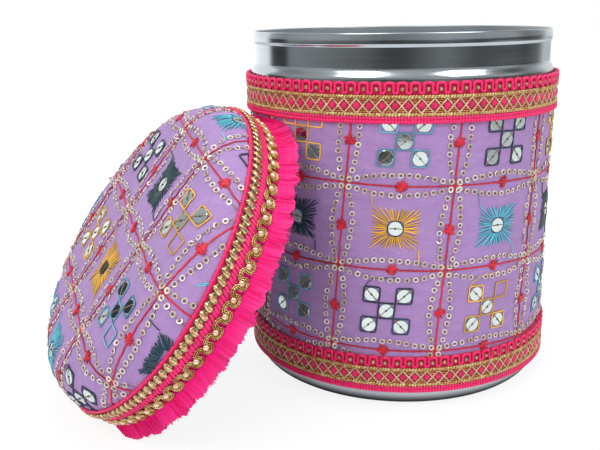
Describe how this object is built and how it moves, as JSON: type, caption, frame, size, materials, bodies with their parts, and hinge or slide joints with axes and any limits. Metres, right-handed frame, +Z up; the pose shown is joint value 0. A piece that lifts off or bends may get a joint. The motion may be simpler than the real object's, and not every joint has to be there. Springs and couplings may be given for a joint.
{
  "type": "cloth-covered canister with lid",
  "caption": "Round steel storage canister in an embroidered cloth sleeve with lace bands, its padded cloth-covered lid taken off and leaning against it.",
  "frame": {"origin": "middle of the canister's flat base, on the floor", "axes": "+Z up along the canister's axis, -Y towards the viewer, the lid leans on the -X side"},
  "size_m": [0.2774, 0.227, 0.187],
  "materials": {
    "steel": "polished stainless steel",
    "lilac_cloth": "matt woven cloth with thread embroidery",
    "foam": "soft padding",
    "pink_trim": "rayon braid with a soft sheen",
    "crimson_tape": "woven tape",
    "gold_trim": "metallic thread",
    "pink_fringe": "cut thread pile"
  },
  "bodies": {
    "canister": {"canister_pot": "steel", "sleeve_cloth": "lilac_cloth", "lower_lace_tape": "crimson_tape", "lower_edge_ribs": "pink_trim", "lower_gold_cord_1": "gold_trim", "lower_gold_cord_2": "gold_trim", "lower_looped_gimp": "pink_trim", "upper_lace_tape": "crimson_tape", "upper_edge_ribs": "pink_trim", "upper_gold_cord_1": "gold_trim", "upper_gold_cord_2": "gold_trim", "upper_looped_gimp": "pink_trim"},
    "lid": {"lid_pan": "steel", "lid_pad": "foam", "lid_cover": "lilac_cloth", "lid_edge_cord": "pink_trim", "lid_tape": "pink_trim", "lid_chain_braid": "gold_trim", "lid_wave_braid": "gold_trim", "lid_fringe": "pink_fringe"}
  },
  "joints": [
    {"name": "lid_lift_off", "type": "slide", "parent": "canister", "child": "lid", "axis": [-0.7703, -0.3317, 0.5446], "range_m": [0, 0.12]}
  ]
}
